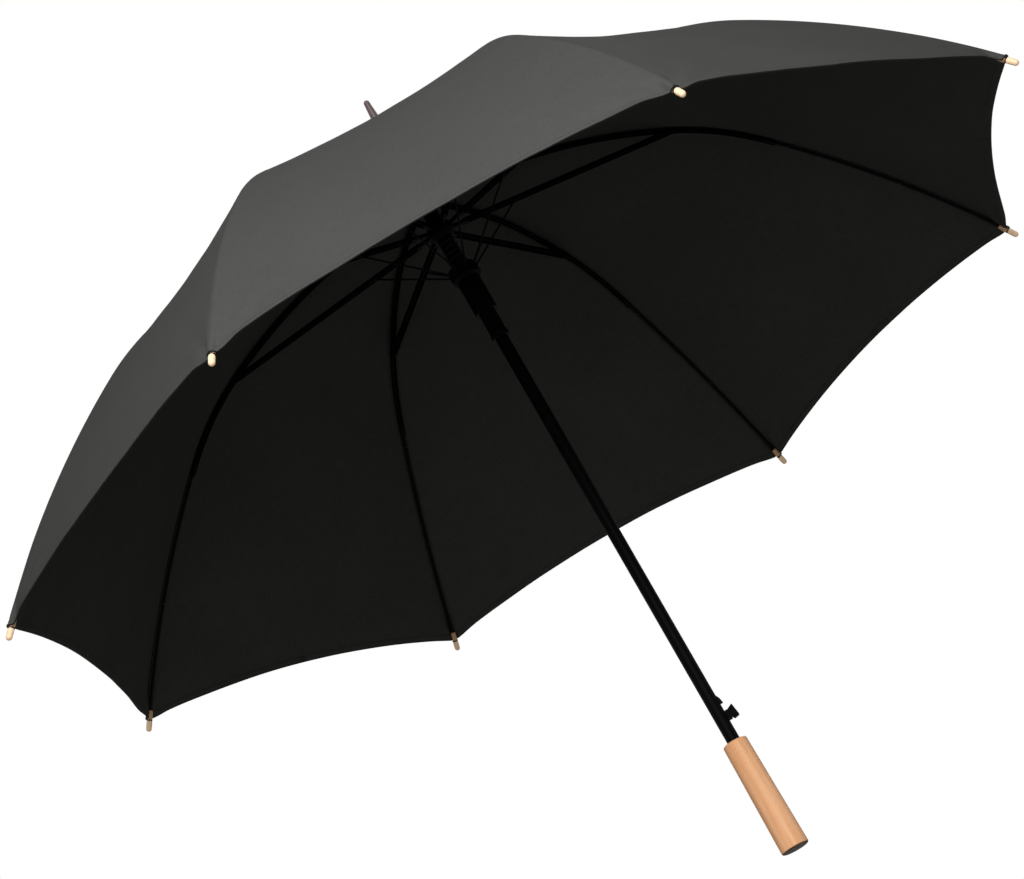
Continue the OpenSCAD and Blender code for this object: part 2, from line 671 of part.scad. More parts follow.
// Half a gore to each side of a rib
module canopy_panel() color(black_cloth) {
    under = [for (k = [0:len(cloth_rows) - 1]) [for (j = [-cloth_cols:cloth_cols])
        cloth_point(row_share(k), j / cloth_cols, cloth_lift)]];
    over = [for (k = [0:len(cloth_rows) - 1]) [for (j = [-cloth_cols:cloth_cols])
        cloth_point(row_share(k), j / cloth_cols, cloth_lift + cloth_t)]];
    shell_between(under, over);
}

shaft();
handle();
ferrule();
rosette();
top_notch();
notch_wire();
notch_pin();
catch();
push_button();
latch_spring();
upper_crown();
crown_wire();
main_spring();
lower_runner();
runner_wire();
runner_sleeve();
for (i = [1:rib_n]) {
    at_rib(i) rib();
    at_rib(i) rib_tip();
    at_rib(i) stretcher();
    at_rib(i) brace_wire();
    at_rib(i) canopy_panel();
}
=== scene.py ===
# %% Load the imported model
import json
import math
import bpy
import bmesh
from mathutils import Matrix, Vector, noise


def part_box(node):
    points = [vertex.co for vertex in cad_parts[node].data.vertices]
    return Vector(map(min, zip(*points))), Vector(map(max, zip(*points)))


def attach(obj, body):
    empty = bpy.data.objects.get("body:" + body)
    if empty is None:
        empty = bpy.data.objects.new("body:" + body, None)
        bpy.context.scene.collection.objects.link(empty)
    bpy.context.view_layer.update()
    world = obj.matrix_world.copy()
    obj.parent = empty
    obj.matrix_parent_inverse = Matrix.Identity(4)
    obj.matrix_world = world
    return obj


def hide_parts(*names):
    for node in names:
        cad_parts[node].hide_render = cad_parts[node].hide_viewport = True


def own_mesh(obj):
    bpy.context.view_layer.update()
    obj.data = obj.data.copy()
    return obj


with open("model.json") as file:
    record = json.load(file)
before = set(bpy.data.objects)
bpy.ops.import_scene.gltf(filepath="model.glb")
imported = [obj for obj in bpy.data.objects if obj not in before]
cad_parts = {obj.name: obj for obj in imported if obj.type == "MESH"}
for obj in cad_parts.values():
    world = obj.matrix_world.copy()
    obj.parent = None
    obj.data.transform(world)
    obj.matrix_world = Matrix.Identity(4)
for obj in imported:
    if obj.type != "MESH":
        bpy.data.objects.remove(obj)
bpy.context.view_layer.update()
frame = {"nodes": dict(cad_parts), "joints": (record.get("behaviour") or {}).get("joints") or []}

# %% [markdown]
# # A stick umbrella, open
# The frame of the umbrella (shaft, ribs, stretchers, runner, handle) comes ready made from the CAD model.
# What is left to make here is the cloth with its seams and hem, the threads that tie it to the frame,
# and the finish of every part.
# All sizes are in metres. Z runs up the shaft, and the push button points along +X.

nodes = frame["nodes"]
joints = {joint["name"]: joint for joint in frame["joints"]}
RIBS = range(1, 9)

# %% [markdown]
# ## Camera
# The umbrella is seen from outside and from below at once, so the camera stands lower than the handle and
# looks up. A long lens keeps the far side of the canopy nearly as large as the near side.

# %% Camera
camera_data = bpy.data.cameras.new("camera")
camera_data.lens = 98.465
camera_data.sensor_width = 36.0
camera = bpy.data.objects.new("camera", camera_data)
camera.location = (-0.026605, -2.412121, -0.402963)
camera.rotation_euler = [math.radians(a) for a in (112.19341, 27.77014, 11.03745)]
bpy.context.collection.objects.link(camera)
bpy.context.scene.camera = camera
print("camera distance:", round(camera.location.length, 3))

# %% [markdown]
# ## Floor, world and lamps
# The floor lies well below the handle, since the umbrella is held and doesn't stand.
# The world is white where the camera, a mirror or glass looks at it, and a soft grey as a light. The floor is
# seen in the same way: part of it glows pale for the eye only, and the rest is matt and keeps the shadow.
# Dark cloth shows its form only by how it shades, so the lamps are broad but stand near: a key in front and
# above gives the near gore the lightest tone, and the gores that turn away or lie farther off fall darker. A
# second lamp lights the handle, two low ones let some light in under the canopy, and a broad one stands at the
# rear. Together they are just strong enough that a colour that faces them renders about as it is written.

# %% Floor
FLOOR_HEIGHT = -2.4
GLOW_SHARE = 0.7


def seen_directly(tree):
    """1 for a ray that the camera, a mirror or glass sends out, and 0 for one that only carries light."""
    path = tree.nodes.new("ShaderNodeLightPath")
    either = path.outputs["Is Camera Ray"]
    for name in ("Is Glossy Ray", "Is Transmission Ray"):
        larger = tree.nodes.new("ShaderNodeMath")
        larger.operation = "MAXIMUM"
        tree.links.new(either, larger.inputs[0])
        tree.links.new(path.outputs[name], larger.inputs[1])
        either = larger.outputs[0]
    return either


bpy.ops.mesh.primitive_plane_add(size=20, location=(0, 0, FLOOR_HEIGHT))
floor = bpy.context.object
floor.name = "floor"
floor_material = bpy.data.materials.new("pale floor")
floor_material.use_nodes = True
tree = floor_material.node_tree
matt = tree.nodes["Principled BSDF"]
matt.inputs["Base Color"].default_value = (0.82, 0.82, 0.81, 1)
matt.inputs["Roughness"].default_value = 0.7
glow = tree.nodes.new("ShaderNodeEmission")
glow.inputs["Color"].default_value = (0.86, 0.86, 0.85, 1)
share = tree.nodes.new("ShaderNodeMath")
share.operation = "MULTIPLY"
share.inputs[1].default_value = GLOW_SHARE
tree.links.new(seen_directly(tree), share.inputs[0])
mix = tree.nodes.new("ShaderNodeMixShader")
tree.links.new(share.outputs[0], mix.inputs["Fac"])
tree.links.new(matt.outputs[0], mix.inputs[1])
tree.links.new(glow.outputs[0], mix.inputs[2])
tree.links.new(mix.outputs[0], tree.nodes["Material Output"].inputs["Surface"])
floor.data.materials.append(floor_material)
print("floor height:", FLOOR_HEIGHT)

# %% World
world = bpy.data.worlds.new("studio")
bpy.context.scene.world = world
world.use_nodes = True
tree = world.node_tree
tree.nodes.clear()
grey = tree.nodes.new("ShaderNodeBackground")
grey.inputs["Color"].default_value = (1, 1, 1, 1)
grey.inputs["Strength"].default_value = 0.2
white = tree.nodes.new("ShaderNodeBackground")
white.inputs["Color"].default_value = (1, 1, 1, 1)
white.inputs["Strength"].default_value = 1.0
mix = tree.nodes.new("ShaderNodeMixShader")
output = tree.nodes.new("ShaderNodeOutputWorld")
tree.links.new(seen_directly(tree), mix.inputs["Fac"])
tree.links.new(grey.outputs[0], mix.inputs[1])
tree.links.new(white.outputs[0], mix.inputs[2])
tree.links.new(mix.outputs[0], output.inputs["Surface"])

# %% Lamps
MIDDLE = Vector((0, 0, 0.55))


def area_lamp(name, place, size, power):
    data = bpy.data.lights.new(name, "AREA")
    data.shape = "RECTANGLE"
    data.size = size[0]
    data.size_y = size[1]
    data.energy = power
    lamp = bpy.data.objects.new(name, data)
    lamp.location = place
    lamp.rotation_euler = (MIDDLE - Vector(place)).to_track_quat("-Z", "Y").to_euler()
    bpy.context.collection.objects.link(lamp)
    return lamp


area_lamp("key", (0.0, -1.6, 1.3), (1.0, 1.0), 16)
area_lamp("front", (0.2, -1.8, 0.8), (0.8, 0.8), 16)
area_lamp("low left", (-0.9, -2.3, -0.1), (0.8, 0.8), 9)
area_lamp("low right", (0.9, -2.3, -0.1), (0.8, 0.8), 6)
area_lamp("rear", (0.3, 2.3, 1.9), (1.6, 1.6), 14)
bpy.context.scene.view_settings.view_transform = "Standard"
print("lamps:", [lamp.name for lamp in bpy.data.lights])

# %% [markdown]
# ## Materials
# A material here is a Principled shader whose colour, roughness and bump come from noise and waves.
# `new_material` makes the shader, `add` makes a node, and `join` links two sockets, so that each finish
# below reads as a short recipe.

# %% Material helpers
def new_material(name, colour, roughness, metallic=0.0, specular=0.5):
    material = bpy.data.materials.new(name)
    material.use_nodes = True
    shader = material.node_tree.nodes["Principled BSDF"]
    shader.inputs["Base Color"].default_value = (*colour, 1)
    shader.inputs["Roughness"].default_value = roughness
    shader.inputs["Metallic"].default_value = metallic
    shader.inputs["Specular IOR Level"].default_value = specular
    return material, shader


def add(material, kind, **values):
    node = material.node_tree.nodes.new(kind)
    for key, value in values.items():
        if key in node.inputs:
            node.inputs[key].default_value = value
        else:
            setattr(node, key, value)
    return node


def join(material, out_socket, in_socket):
    material.node_tree.links.new(out_socket, in_socket)


def coordinates(material, kind, scale=(1, 1, 1), turn=(0, 0, 0)):
    """Texture coordinates that are turned first and stretched after."""
    vector = add(material, "ShaderNodeTexCoord").outputs[kind]
    for socket, value in (("Rotation", turn), ("Scale", scale)):
        mapping = add(material, "ShaderNodeMapping")
        mapping.inputs[socket].default_value = value
        join(material, vector, mapping.inputs["Vector"])
        vector = mapping.outputs["Vector"]
    return vector


def noise_on(material, vector, scale, detail=2.0, roughness=0.5):
    texture = add(material, "ShaderNodeTexNoise", Scale=scale, Detail=detail, Roughness=roughness)
    join(material, vector, texture.inputs["Vector"])
    return texture.outputs["Fac"]


def ramp(material, factor, stops):
    node = add(material, "ShaderNodeValToRGB")
    node.color_ramp.elements[0].position = stops[0][0]
    node.color_ramp.elements[0].color = (*stops[0][1], 1)
    node.color_ramp.elements[1].position = stops[-1][0]
    node.color_ramp.elements[1].color = (*stops[-1][1], 1)
    for position, colour in stops[1:-1]:
        node.color_ramp.elements.new(position).color = (*colour, 1)
    join(material, factor, node.inputs["Fac"])
    return node.outputs["Color"]


def blend_factors(material, a, b, share):
    node = add(material, "ShaderNodeMix", data_type="FLOAT")
    node.inputs["Factor"].default_value = share
    join(material, a, node.inputs["A"])
    join(material, b, node.inputs["B"])
    return node.outputs["Result"]


def bump(material, shader, height, strength, distance):
    node = add(material, "ShaderNodeBump", Strength=strength, Distance=distance)
    join(material, height, node.inputs["Height"])
    join(material, node.outputs["Normal"], shader.inputs["Normal"])


def roughness_between(material, shader, factor, low, high):
    node = add(material, "ShaderNodeMapRange")
    node.inputs["To Min"].default_value = low
    node.inputs["To Max"].default_value = high
    join(material, factor, node.inputs["Value"])
    join(material, node.outputs["Result"], shader.inputs["Roughness"])


# %% [markdown]
# ### Cloth
# Umbrella cloth is a tight plain weave of fine black yarn. Single yarns are far too small to see, but their
# uneven thickness shows as faint streaks along both yarn directions. The streaks are two noises, each
# stretched along one direction of the sheet's own UV map, which is in metres and starts at each gore's
# middle line, because a gore is cut along its yarns there. A slow noise in the object's own space adds
# clouds that run over the seams, and crossed waves add the weave itself for close views. The inside is a
# darker copy of the same cloth: its darkness is painted shade under the canopy.

# %% Cloth
def cloth(name, dark, light, level, rough):
    material, shader = new_material(name, light, rough, specular=level)
    warp = noise_on(material, coordinates(material, "UV", scale=(900, 70, 1)), 1.0, 3)
    weft = noise_on(material, coordinates(material, "UV", scale=(70, 900, 1)), 1.0, 3)
    streaks = blend_factors(material, warp, weft, 0.5)
    cloudy = noise_on(material, coordinates(material, "Object"), 9.0, 2)
    factor = blend_factors(material, streaks, cloudy, 0.2)
    colour = ramp(material, factor, [(0.38, dark), (0.62, light)])
    join(material, colour, shader.inputs["Base Color"])
    yarns = add(material, "ShaderNodeTexWave", Scale=700.0, wave_profile="SIN", bands_direction="X")
    picks = add(material, "ShaderNodeTexWave", Scale=700.0, wave_profile="SIN", bands_direction="Y")
    flat = coordinates(material, "UV")
    join(material, flat, yarns.inputs["Vector"])
    join(material, flat, picks.inputs["Vector"])
    crossing = add(material, "ShaderNodeMath", operation="MULTIPLY")
    join(material, yarns.outputs["Fac"], crossing.inputs[0])
    join(material, picks.outputs["Fac"], crossing.inputs[1])
    height = blend_factors(material, crossing.outputs[0], streaks, 0.6)
    bump(material, shader, height, 0.35, 0.0002)
    roughness_between(material, shader, streaks, rough - 0.06, rough + 0.06)
    return material, shader


cloth_outside, shader = cloth("black cloth outside", (0.053, 0.053, 0.051), (0.063, 0.063, 0.0605), 0.008, 0.9)
# Painted shade: the inside takes about half the outside's colour, for the shade under the canopy.
cloth_inside_painted_shade, shader = cloth("black cloth inside", (0.0245, 0.0245, 0.0225), (0.0335, 0.0335, 0.0303), 0.02, 0.9)
print("cloth:", cloth_outside.name, "and", cloth_inside_painted_shade.name)

# %% [markdown]
# ### Hem edge and thread
# The hem's outer edge is overcast with close black thread, so it looks like a thin dark cord. Its waves run
# along the strip's own UV map, one ridge to each turn of thread. The sewing thread itself is polyester with
# a little more gloss than the cloth and a twist that shows as slanting ridges.

# %% Hem edge and thread
# This near-black also colours the seam allowance behind each rib: partly its overlocked edge, and partly painted
# shade beside the rib.
overcast_and_rib_shade, shader = new_material("overcast edge", (0.0035, 0.0035, 0.0035), 0.7, specular=0.12)
turns = add(overcast_and_rib_shade, "ShaderNodeTexWave", Scale=420.0, Distortion=0.6, bands_direction="X")
join(overcast_and_rib_shade, coordinates(overcast_and_rib_shade, "UV"), turns.inputs["Vector"])
tone = ramp(overcast_and_rib_shade, turns.outputs["Fac"], [(0.0, (0.002, 0.002, 0.002)), (1.0, (0.005, 0.005, 0.005))])
join(overcast_and_rib_shade, tone, shader.inputs["Base Color"])
bump(overcast_and_rib_shade, shader, turns.outputs["Fac"], 0.6, 0.0002)

thread, shader = new_material("black thread", (0.006, 0.006, 0.006), 0.55, specular=0.2)
twist = add(thread, "ShaderNodeTexWave", Scale=900.0, Distortion=1.0, bands_direction="DIAGONAL")
join(thread, coordinates(thread, "Object"), twist.inputs["Vector"])
tone = ramp(thread, twist.outputs["Fac"], [(0.0, (0.004, 0.004, 0.004)), (1.0, (0.009, 0.009, 0.009))])
join(thread, tone, shader.inputs["Base Color"])
bump(thread, shader, twist.outputs["Fac"], 0.5, 0.0001)

# %% [markdown]
# ### Enamelled steel
# The shaft, ribs, stretchers and wires are steel under dull black enamel. Enamel has a faint orange-peel
# ripple, and handling leaves it a little uneven in gloss. A deep black needs a very small specular level as
# well as a dark colour, or the white surroundings lift it to grey. One recipe serves all with other numbers.

# %% Enamelled steel
def enamel(name, colour, level, low, high):
    material, shader = new_material(name, colour, low, specular=level)
    where = coordinates(material, "Object")
    peel = noise_on(material, where, 900.0, 2)
    wear = noise_on(material, where, 60.0, 4, 0.6)
    roughness_between(material, shader, wear, low, high)
    tone = tuple(c * 1.6 for c in colour)
    join(material, ramp(material, wear, [(0.3, colour), (0.75, tone)]), shader.inputs["Base Color"])
    bump(material, shader, peel, 0.08, 0.0002)
    return material


shaft_enamel = enamel("shaft enamel", (0.0008, 0.0008, 0.0008), 0.03, 0.4, 0.55)
frame_enamel = enamel("frame enamel", (0.0010, 0.0010, 0.0010), 0.04, 0.5, 0.65)
spring_steel = enamel("spring steel", (0.0020, 0.0020, 0.0021), 0.08, 0.4, 0.55)

# %% [markdown]
# ### Moulded plastic
# Runner, crown, notch and button are moulded in black nylon. A mould gives it a fine even grain, and the
# edges that slide or are pressed are polished by use, so the gloss follows a slow noise.

# %% Moulded plastic
plastic, shader = new_material("black nylon", (0.0012, 0.0012, 0.0012), 0.6, specular=0.03)
where = coordinates(plastic, "Object")
grain = noise_on(plastic, where, 2600.0, 2)
use = noise_on(plastic, where, 120.0, 3)
roughness_between(plastic, shader, use, 0.55, 0.72)
tone = ramp(plastic, use, [(0.3, (0.0010, 0.0010, 0.0010)), (0.7, (0.0020, 0.0020, 0.0020))])
join(plastic, tone, shader.inputs["Base Color"])
bump(plastic, shader, grain, 0.12, 0.0002)

# %% [markdown]
# ### Glossy ferrule
# The ferrule is turned metal under a dark, slightly brown lacquer. A clear coat over a rougher base gives
# the sharp bright streak that a polished point shows, and fine rings are left from turning it.

# %% Ferrule lacquer
gunmetal, shader = new_material("dark lacquered metal", (0.06, 0.035, 0.038), 0.32, metallic=0.6)
rings = add(gunmetal, "ShaderNodeTexWave", Scale=260.0, Distortion=2.0, bands_direction="Z")
join(gunmetal, coordinates(gunmetal, "Object"), rings.inputs["Vector"])
tone = ramp(gunmetal, rings.outputs["Fac"], [(0.0, (0.060, 0.034, 0.038)), (1.0, (0.085, 0.052, 0.056))])
join(gunmetal, tone, shader.inputs["Base Color"])
bump(gunmetal, shader, rings.outputs["Fac"], 0.04, 0.0001)
shader.inputs["Coat Weight"].default_value = 0.5
shader.inputs["Coat Roughness"].default_value = 0.1

# %% [markdown]
# ### Wood
# The handle and the tips are turned from pale beech. Beech shows long soft growth lines along the grain and
# short darker flecks. Both are noises that are squeezed across the grain and stretched along it. A turned
# part cuts the grain lengthways, so the stretch follows the part's own axis, which for a tip slants outwards.

# %% Wood
def wood(name, pale, mid, dark, turn=(0, 0, 0), fine=1.0):
    material, shader = new_material(name, pale, 0.5, specular=0.3)
    lines = coordinates(material, "Object", scale=(300 * fine, 300 * fine, 14 * fine), turn=turn)
    growth = noise_on(material, lines, 1.0, 4, 0.55)
    broad = noise_on(material, coordinates(material, "Object", scale=(70, 70, 7), turn=turn), 1.0, 2)
    flecks = coordinates(material, "Object", scale=(1100 * fine, 1100 * fine, 80 * fine), turn=turn)
    fleck = noise_on(material, flecks, 1.0, 2, 0.4)
    factor = blend_factors(material, growth, broad, 0.5)
    base = ramp(material, factor, [(0.34, dark), (0.5, mid), (0.66, pale)])
    spot = ramp(material, fleck, [(0.62, (1, 1, 1)), (0.72, (0.82, 0.74, 0.66))])
    tint = add(material, "ShaderNodeMix", data_type="RGBA", blend_type="MULTIPLY")
    tint.inputs["Factor"].default_value = 0.5
    join(material, base, tint.inputs["A"])
    join(material, spot, tint.inputs["B"])
    join(material, tint.outputs["Result"], shader.inputs["Base Color"])
    bump(material, shader, growth, 0.1, 0.0003)
    roughness_between(material, shader, broad, 0.42, 0.58)
    return material, shader, tint.outputs["Result"]


# %% [markdown]
# The handle's end face is near-black. End grain takes lacquer a little darker, and the rest of that darkness
# is painted shade under the handle. A map range on the height tells the end face, at Z = 0, from the turned
# side just above it, and mixes the dark colour in there.

# %% Handle wood
handle_wood, shader, side_colour = wood("beech handle", (0.87, 0.50, 0.285), (0.81, 0.43, 0.225), (0.71, 0.35, 0.17))
split = add(handle_wood, "ShaderNodeSeparateXYZ")
join(handle_wood, coordinates(handle_wood, "Object"), split.inputs["Vector"])
end_shade_share = add(handle_wood, "ShaderNodeMapRange")
end_shade_share.inputs["From Min"].default_value = 0.0003
end_shade_share.inputs["From Max"].default_value = 0.0009
end_shade_share.inputs["To Min"].default_value = 1.0
end_shade_share.inputs["To Max"].default_value = 0.0
join(handle_wood, split.outputs["Z"], end_shade_share.inputs["Value"])
sawn = noise_on(handle_wood, coordinates(handle_wood, "Object", scale=(500, 160, 1)), 1.0, 3)
# Painted shade: the end face's near-black colour stands for the shade under the handle.
painted_end_shade = ramp(handle_wood, sawn, [(0.35, (0.030, 0.014, 0.007)), (0.65, (0.065, 0.032, 0.016))])
end_shade_mix = add(handle_wood, "ShaderNodeMix", data_type="RGBA")
join(handle_wood, end_shade_share.outputs["Result"], end_shade_mix.inputs["Factor"])
join(handle_wood, side_colour, end_shade_mix.inputs["A"])
join(handle_wood, painted_end_shade, end_shade_mix.inputs["B"])
join(handle_wood, end_shade_mix.outputs["Result"], shader.inputs["Base Color"])
shader.inputs["Specular IOR Level"].default_value = 0.03

# %% [markdown]
# ## The rib's line
# The cloth follows the ribs. Each rib's centre line is three arcs in a plane through the shaft: a flat one
# from the hinge to the stretcher, a bend over the joint, and a long one down to the corner. The ends come
# from the frame: the hinge and the stretcher's pivot are joints. A slope is in degrees below the horizontal.

# %% The rib's line
hinge = joints["rib_1_fold"]["pos_m"]
stretcher_pivot = joints["stretcher_1_turn"]["pos_m"]
HINGE = (math.hypot(hinge[0], hinge[1]), hinge[2])
PIVOT = (math.hypot(stretcher_pivot[0], stretcher_pivot[1]), stretcher_pivot[2])
RIB_RAISE = 0.003
START_SLOPE = -10.0
ELBOW_LENGTH = 0.090
ELBOW_BEND = 20.0
CORNER = (0.525, 0.457)
GORE = math.radians(45)


def chord_slope(p, q):
    return math.degrees(math.atan2(p[1] - q[1], q[0] - p[0]))


def arc_length(p, q, a, b):
    half = math.radians(b - a) / 2
    return math.dist(p, q) * half / math.sin(half)


def arc_step(p, a, b, length):
    radius = length / math.radians(b - a)
    a, b = math.radians(a), math.radians(b)
    return (p[0] + radius * (math.sin(b) - math.sin(a)), p[1] + radius * (math.cos(b) - math.cos(a)))


rib_start = (HINGE[0], HINGE[1] + RIB_RAISE)
pivot_slope = 2 * chord_slope(rib_start, PIVOT) - START_SLOPE
arm_length = arc_length(rib_start, PIVOT, START_SLOPE, pivot_slope)
elbow_slope = pivot_slope + ELBOW_BEND
elbow_end = arc_step(PIVOT, pivot_slope, elbow_slope, ELBOW_LENGTH)
corner_slope = 2 * chord_slope(elbow_end, CORNER) - elbow_slope
outer_length = arc_length(elbow_end, CORNER, elbow_slope, corner_slope)
RIB_ARCS = [
    (0.0, arm_length, rib_start, START_SLOPE, pivot_slope),
    (arm_length, ELBOW_LENGTH, PIVOT, pivot_slope, elbow_slope),
    (arm_length + ELBOW_LENGTH, outer_length, elbow_end, elbow_slope, corner_slope)]
rib_length = arm_length + ELBOW_LENGTH + outer_length
print("rib length:", round(rib_length, 4), "slope at the corner:", round(corner_slope, 1))


def rib_place(s, height):
    """Distance from the shaft and height of a point that lies height over the rib's line, at length s."""
    arc = RIB_ARCS[0] if s < RIB_ARCS[1][0] else RIB_ARCS[1] if s < RIB_ARCS[2][0] else RIB_ARCS[2]
    start, length, point, a, b = arc
    slope = a + (b - a) * (s - start) / length
    r, z = arc_step(point, a, slope, s - start) if abs(s - start) > 1e-7 else point
    return r + height * math.sin(math.radians(slope)), z + height * math.cos(math.radians(slope)), slope


def rib_azimuth(i):
    return GORE / 2 + (i - 1) * GORE


def turned(i):
    return Matrix.Rotation(rib_azimuth(i), 4, "Z")


# %% [markdown]
# ## Canopy
# The canopy is cut in eight gores that are sewn together along the ribs. When the frame folds, each rib
# takes the cloth on both sides of it along, so here the cloth is eight sheets that meet midway between the
# ribs: each has a seam down its middle and follows its own rib.
#
# `taut_place` gives the taut surface: straight across from rib to rib, a little sunken in the middle, with a
# hem that bows up between the corners. `half_width` is the way from a seam to the gore's middle line. The
# cloth lies over the rib's line by a wooden tip's radius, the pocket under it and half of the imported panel.

# %% The taut surface
TIP_RADIUS = 0.0029
POCKET = 0.0007
HALF_PANEL = 0.0003
CLOTH_LIFT = TIP_RADIUS + POCKET + HALF_PANEL
CLOTH_START = -0.0015
HEM_RISE = 0.018
CLOTH_SAG = 0.006
CLOTH_THICKNESS = 0.0004


def bow(across):
    return abs(across) * (2 - abs(across))


def hem_length(across):
    return rib_length - HEM_RISE * bow(across)


def taut_place(s, across):
    """A point of the taut cloth in the frame of a rib along X, at length s along the rib. across runs from
    -1 to 1, midway to each neighbour."""
    along = (s - CLOTH_START) / (hem_length(across) - CLOTH_START)
    r, z, _ = rib_place(s, CLOTH_LIFT - CLOTH_SAG * math.sin(math.pi * along) * bow(across))
    return Vector((r - abs(across) * r * (1 - math.cos(GORE)) / 2, across * r * math.sin(GORE) / 2, z))


def half_width(s):
    return rib_place(s, CLOTH_LIFT)[0] * math.sin(GORE / 2)


# %% [markdown]
# Sewn cloth isn't smooth. The two gores are felled at the seam: a fine groove, and beside it a low ridge
# where the allowance is folded under. The hem is a low ridge too. Short puckers cross the seams, pleats fan
# out from each corner, where the cloth hangs from one stitch, and slow ripples run over the gores. Right at
# the corner the thread draws the cloth down on both sides of the wooden tip. All of these are small heights
# that are added to the taut surface. The ripples depend only on the place in space, so two neighbouring
# sheets meet without a step.

# %% Relief of the sewn cloth
HEM_WIDTH = 0.006
SEAM_GROOVE, SEAM_RIDGE = 0.0002, 0.00018
PUCKER, PUCKER_PITCH = 0.00013, 0.0115
HEM_RIDGE, HEM_GROOVE = 0.00012, 0.0001
PLEAT, WRAP = 0.0004, 0.0034
RIPPLE, SMALL_RIPPLE = 0.0016, 0.0005


def fade(x, low, high):
    """0 below low, 1 above high, and a smooth step between."""
    x = min(1, max(0, (x - low) / (high - low)))
    return x * x * (3 - 2 * x)


def relief(place, s, apart, to_hem):
    """Height added at a place: apart is the signed distance from the seam, to_hem the one from the hem."""
    away = abs(apart)
    seam = -SEAM_GROOVE * math.exp(-(apart / 0.0006) ** 2)
    seam += SEAM_RIDGE * fade(apart, 0.0003, 0.0012) * (1 - fade(apart, 0.005, 0.006))
    pucker = math.sin(2 * math.pi * s / PUCKER_PITCH + 3 * noise.noise(place * 25))
    seam += PUCKER * pucker * fade(away, 0.001, 0.004) * (1 - fade(away, 0.006, 0.02))
    hem = HEM_RIDGE * (1 - fade(to_hem, HEM_WIDTH - 0.001, HEM_WIDTH))
    hem -= HEM_GROOVE * math.exp(-((to_hem - HEM_WIDTH) / 0.0007) ** 2)
    reach = math.hypot(apart, to_hem)
    fan = math.sin(9 * math.atan2(away, to_hem + 0.004) + 2 * noise.noise(place * 12))
    pleats = PLEAT * fan * fade(reach, 0.008, 0.03) * (1 - fade(reach, 0.04, 0.11))
    wrap = -WRAP * fade(away, 0.0024, 0.0062) * (1 - fade(reach, 0.008, 0.028))
    broad = RIPPLE * noise.noise(place * 9) + SMALL_RIPPLE * noise.noise(place * 30 + Vector((3, 1, 7)))
    loose = fade(away, 0.002, 0.06) * fade(s, 0.01, 0.12)
    return fade(s, 0.004, 0.05) * seam + hem + pleats + wrap + broad * loose


def on_cloth(i, s, across, height=0.0):
    """A point that lies height over the outside of the sewn cloth, in the object's own frame."""
    step = 0.001
    place = taut_place(s, across)
    along = taut_place(s + step, across) - taut_place(s - step, across)
    sideways = taut_place(s, across + 0.01) - taut_place(s, across - 0.01)
    normal = along.cross(sideways).normalized()
    turn = turned(i)
    lifted = height + relief(turn @ place, s, across * half_width(s), hem_length(across) - s)
    return turn @ (place + normal * lifted)


# %% [markdown]
# Each sheet starts as a flat grid, made by one operator, whose points then move to their places. Its columns
# are close together at the seam and its rows are close together at the hem, where the small ridges are. The
# UV map is laid out in metres from each gore's middle line, so that the weave has its real size and its real
# direction everywhere. The two sheets of one gore share it, and each gore has its own place on it.

# %% Rows and columns of a sheet
SEAM_STEPS = [0.0, 0.0005, 0.0012, 0.0022, 0.0035, 0.005, 0.006, 0.0075]
HEM_STEPS = [0.0, 0.0007, 0.0018, 0.0035, 0.005, 0.006, 0.0075]
SIDE_COLUMNS = 30
ROWS = 200


def from_seam(k, half):
    """Distance of column k from the seam, where the cloth is half wide on that side."""
    near = min(1, half / 0.03)
    last = len(SEAM_STEPS) - 1
    if k <= last:
        return SEAM_STEPS[k] * near
    share = (k - last) / (SIDE_COLUMNS - last)
    return SEAM_STEPS[last] * near + (half - SEAM_STEPS[last] * near) * share ** 1.25


def across_of(k, half):
    return math.copysign(from_seam(abs(k), half) / half, k) if k else 0.0


def row_length(j, across):
    """Length along the rib of row j."""
    last = len(HEM_STEPS) - 1
    if j >= ROWS - last:
        return hem_length(across) - HEM_STEPS[ROWS - j]
    return CLOTH_START + (hem_length(across) - HEM_STEPS[last] - CLOTH_START) * j / (ROWS - last)


# %% [markdown]
# A new piece needs the same few things each time: an object, its materials, and the body it rides on.

# %% Piece helpers
def grid_of(columns, rows):
    """A flat grid and the whole-number column and row of each of its points."""
    mesh = bmesh.new()
    bmesh.ops.create_grid(mesh, x_segments=columns, y_segments=rows, size=1)
    where = {v: (round((v.co.x + 1) / 2 * columns), round((v.co.y + 1) / 2 * rows)) for v in mesh.verts}
    return mesh, where


def smooth_faces(mesh):
    for face in mesh.faces:
        face.smooth = True


def pour(mesh, target):
    """Adds a finished bmesh to target and frees it."""
    data = bpy.data.meshes.new("part")
    mesh.to_mesh(data)
    mesh.free()
    target.from_mesh(data)
    bpy.data.meshes.remove(data)


def piece_from(mesh, name, materials, body):
    data = bpy.data.meshes.new(name)
    mesh.to_mesh(data)
    mesh.free()
    piece = bpy.data.objects.new(name, data)
    bpy.context.collection.objects.link(piece)
    for material in materials:
        data.materials.append(material)
    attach(piece, body)
    return piece


def crumple(piece):
    """Gives the piece a mesh of its own."""
    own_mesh(piece)


def thicken(piece):
    """The modelled surface is the outside of the cloth, and the wall below it takes the next material."""
    solid = piece.modifiers.new("thickness", "SOLIDIFY")
    solid.thickness = CLOTH_THICKNESS
    solid.offset = -1
    solid.material_offset = 1


